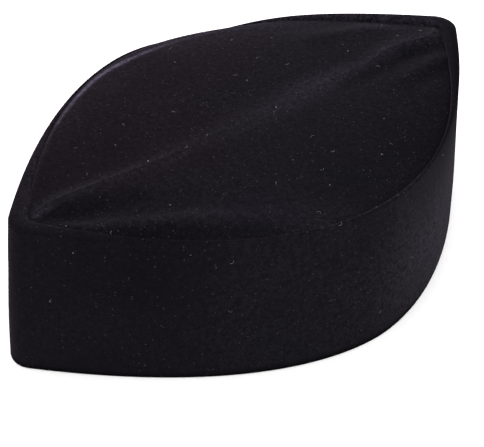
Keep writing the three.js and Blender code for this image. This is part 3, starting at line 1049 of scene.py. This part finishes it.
def make_lint_tree():
    tree, given, out = new_tree(
        "lint on velvet",
        "GeometryNodeTree",
        {
            "Velvet": "Geometry",
            "Fibres": 1300.0,
            "Specks": 1200.0,
            "Fibre Length": 0.0019,
            "Fibre Radius": 0.00005,
            "Speck Radius": 0.00011,
            "Seed": 7,
            "Lint": "Material",
        },
        {"Lint": "Geometry"},
    )

    def random(kind, low, high, seed):
        node = add(tree, "FunctionNodeRandomValue", data_type=kind)
        lowest, highest = [socket for socket in node.inputs if socket.enabled][:2]
        plug(tree, lowest, low)
        plug(tree, highest, high)
        plug(tree, node.inputs["Seed"], calc(tree, "ADD", given["Seed"], float(seed)))
        return next(socket for socket in node.outputs if socket.enabled)

    def scatter(density, seed):
        inputs = {"Mesh": given["Velvet"], "Seed": calc(tree, "ADD", given["Seed"], float(seed))}
        node = add(tree, "GeometryNodeDistributePointsOnFaces", inputs)
        plug(tree, node.inputs["Density"], density)
        return node.outputs["Points"], node.outputs["Rotation"]

    def toned(instances, tones, seed):
        inputs = {"Geometry": instances, "Name": "tone", "Value": random("FLOAT", *tones, seed)}
        return add(
            tree, "GeometryNodeStoreNamedAttribute", inputs, data_type="FLOAT", domain="INSTANCE"
        ).outputs[0]

    points, facing = scatter(given["Fibres"], 1)
    half = calc(tree, "MULTIPLY", given["Fibre Length"], 0.5)
    start = add(tree, "ShaderNodeCombineXYZ", {0: calc(tree, "MULTIPLY", half, -1.0)}).outputs[0]
    lifted = calc(tree, "MULTIPLY", given["Fibre Length"], FIBRE_LIFT)
    bend = add(tree, "ShaderNodeCombineXYZ", {1: given["Fibre Length"], 2: lifted})
    end = add(tree, "ShaderNodeCombineXYZ", {0: half}).outputs[0]
    curve = add(
        tree,
        "GeometryNodeCurveQuadraticBezier",
        {"Resolution": 6, "Start": start, "Middle": bend.outputs[0], "End": end},
    ).outputs[0]
    angle = random("FLOAT", 0.0, FULL_TURN, 2)
    turn = add(tree, "FunctionNodeAxisAngleToRotation", {"Axis": (0, 0, 1), "Angle": angle})
    lying = add(
        tree,
        "FunctionNodeRotateRotation",
        {"Rotation": facing, "Rotate By": turn.outputs[0]},
        rotation_space="LOCAL",
    ).outputs[0]
    sizes = random("FLOAT_VECTOR", *FIBRE_SIZES, 3)
    fibres = add(
        tree,
        "GeometryNodeInstanceOnPoints",
        {"Points": points, "Instance": curve, "Rotation": lying, "Scale": sizes},
    ).outputs[0]
    loose = add(tree, "GeometryNodeRealizeInstances", {0: toned(fibres, FIBRE_TONES, 4)}).outputs[0]
    ring = add(tree, "GeometryNodeCurvePrimitiveCircle", {"Resolution": 4, "Radius": given["Fibre Radius"]})
    threads = add(
        tree,
        "GeometryNodeCurveToMesh",
        {"Curve": loose, "Profile Curve": ring.outputs[0], "Fill Caps": True},
    ).outputs[0]

    inputs = {"Radius": given["Speck Radius"], "Subdivisions": 1}
    ball = add(tree, "GeometryNodeMeshIcoSphere", inputs).outputs[0]
    points, facing = scatter(given["Specks"], 5)
    flat = random("FLOAT_VECTOR", *SPECK_SIZES, 6)
    specks = add(
        tree,
        "GeometryNodeInstanceOnPoints",
        {"Points": points, "Instance": ball, "Rotation": facing, "Scale": flat},
    ).outputs[0]
    chosen = add(tree, "GeometryNodeInputNamedAttribute", {"Name": "chosen"}, data_type="FLOAT").outputs[0]
    marked = calc(tree, "GREATER_THAN", chosen, 0.5)
    inputs = {"Mesh": given["Velvet"], "Selection": marked}
    bright = add(tree, "GeometryNodeMeshToPoints", inputs).outputs[0]
    large = add(
        tree,
        "GeometryNodeInstanceOnPoints",
        {"Points": bright, "Instance": ball, "Scale": random("FLOAT_VECTOR", *BRIGHT_SIZES, 7)},
    ).outputs[0]
    joined = add(tree, "GeometryNodeJoinGeometry")
    for part in (toned(large, BRIGHT_TONES, 8), toned(specks, SPECK_TONES, 9), threads):
        tree.links.new(part, joined.inputs[0])
    realized = add(tree, "GeometryNodeRealizeInstances", {0: joined.outputs[0]}).outputs[0]
    finished = add(tree, "GeometryNodeSetMaterial", {"Geometry": realized, "Material": given["Lint"]})
    plug(tree, out["Lint"], finished.outputs[0])
    return tree


# %% The lint
LINT_DARK = (0.05, 0.048, 0.052, 1)
LINT_PALE = (0.55, 0.54, 0.52, 1)
LINT_CLUMPS = 2500.0
CLUMP_SHADES = (0.6, 1.3)
LINT_ROUGHNESS = (0.75, 1.0)


def make_lint_material():
    """Cotton fluff. Each fibre has a tone of its own, and a little noise breaks it along its length."""
    material, tree, shader = new_material("lint")
    tone = add(tree, "ShaderNodeAttribute", attribute_name="tone").outputs["Fac"]
    place = add(tree, "ShaderNodeTexCoord").outputs["Object"]
    broken = noise(tree, place, LINT_CLUMPS, detail=1.0)
    shade = calc(tree, "MULTIPLY", tone, mix(tree, "FLOAT", broken, *CLUMP_SHADES), clamp=True)
    plug(tree, shader.inputs["Base Color"], mix(tree, "RGBA", shade, LINT_DARK, LINT_PALE))
    plug(tree, shader.inputs["Roughness"], mix(tree, "FLOAT", broken, *LINT_ROUGHNESS))
    shader.inputs["Specular IOR Level"].default_value = CLOTH_GLOSS
    return material


lint = grow("lint", velvet_skin(), make_lint_tree(), {"Lint": make_lint_material()})
print("lint:", sum(len(face.vertices) - 2 for face in lint.data.polygons), "triangles")

# %% [markdown]
# A plain pale floor and soft light from all round, as in a small studio tent. Black velvet needs far more
# light than anything else, so the floor is blown out and keeps only a trace of a shadow. Pile catches
# light from behind, so most of it comes from a large light at the back left, slightly pink, which draws
# the sheen along the crown's folds. A smaller one on the right pales the side there, and one from above
# fills in.

# %% Floor and light
FLOOR_SIZE = 6.0
FLOOR_WHITE = (0.98, 0.98, 0.98, 1)
FLOOR_ROUGHNESS = 0.9
WORLD_LIGHT = 0.75
LIGHT_DISTANCE = 1.2

# Azimuth and elevation in degrees, counted as the camera's, the side of the square, and the power in watts
Light = namedtuple("Light", "azimuth elevation size power colour")
LIGHTS = {
    "right": Light(85, 28, 0.9, 8.5, (1, 1, 1)),
    "back left": Light(-115, 25, 1.5, 34, (1.0, 0.86, 0.97)),
    "top": Light(20, 75, 0.9, 6, (1, 1, 1)),
}


def make_floor():
    mesh = bpy.data.meshes.new("floor")
    half = FLOOR_SIZE / 2
    corners = [(-half, -half, 0), (half, -half, 0), (half, half, 0), (-half, half, 0)]
    mesh.from_pydata(corners, [], [(0, 1, 2, 3)])
    floor = show("floor", mesh)
    material, _, shader = new_material("floor white")
    shader.inputs["Base Color"].default_value = FLOOR_WHITE
    shader.inputs["Roughness"].default_value = FLOOR_ROUGHNESS
    mesh.materials.append(material)
    return floor


def soft_light(name, light):
    """A square light that faces the cap from its side."""
    right, up, back = axes(math.radians(light.azimuth), math.radians(light.elevation))
    lamp = bpy.data.objects.new(name, bpy.data.lights.new(name, "AREA"))
    lamp.data.size = light.size
    lamp.data.energy = light.power
    lamp.data.color = light.colour
    facing = Matrix((right, up, back)).transposed().to_4x4()
    lamp.matrix_world = Matrix.Translation(back * LIGHT_DISTANCE) @ facing
    bpy.context.scene.collection.objects.link(lamp)


floor = make_floor()
world = bpy.data.worlds.new("studio")
world.use_nodes = True
world.node_tree.nodes["Background"].inputs["Color"].default_value = (1, 1, 1, 1)
world.node_tree.nodes["Background"].inputs["Strength"].default_value = WORLD_LIGHT
bpy.context.scene.world = world
for name, light in LIGHTS.items():
    soft_light(name, light)
bpy.context.scene.view_settings.view_transform = "Standard"
print(len(LIGHTS), "lights:", ", ".join(LIGHTS))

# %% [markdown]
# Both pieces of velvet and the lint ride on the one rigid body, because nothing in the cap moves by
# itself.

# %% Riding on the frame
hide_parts("band")
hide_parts("crown")
for piece in (band, crown, lint):
    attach(piece, "root")
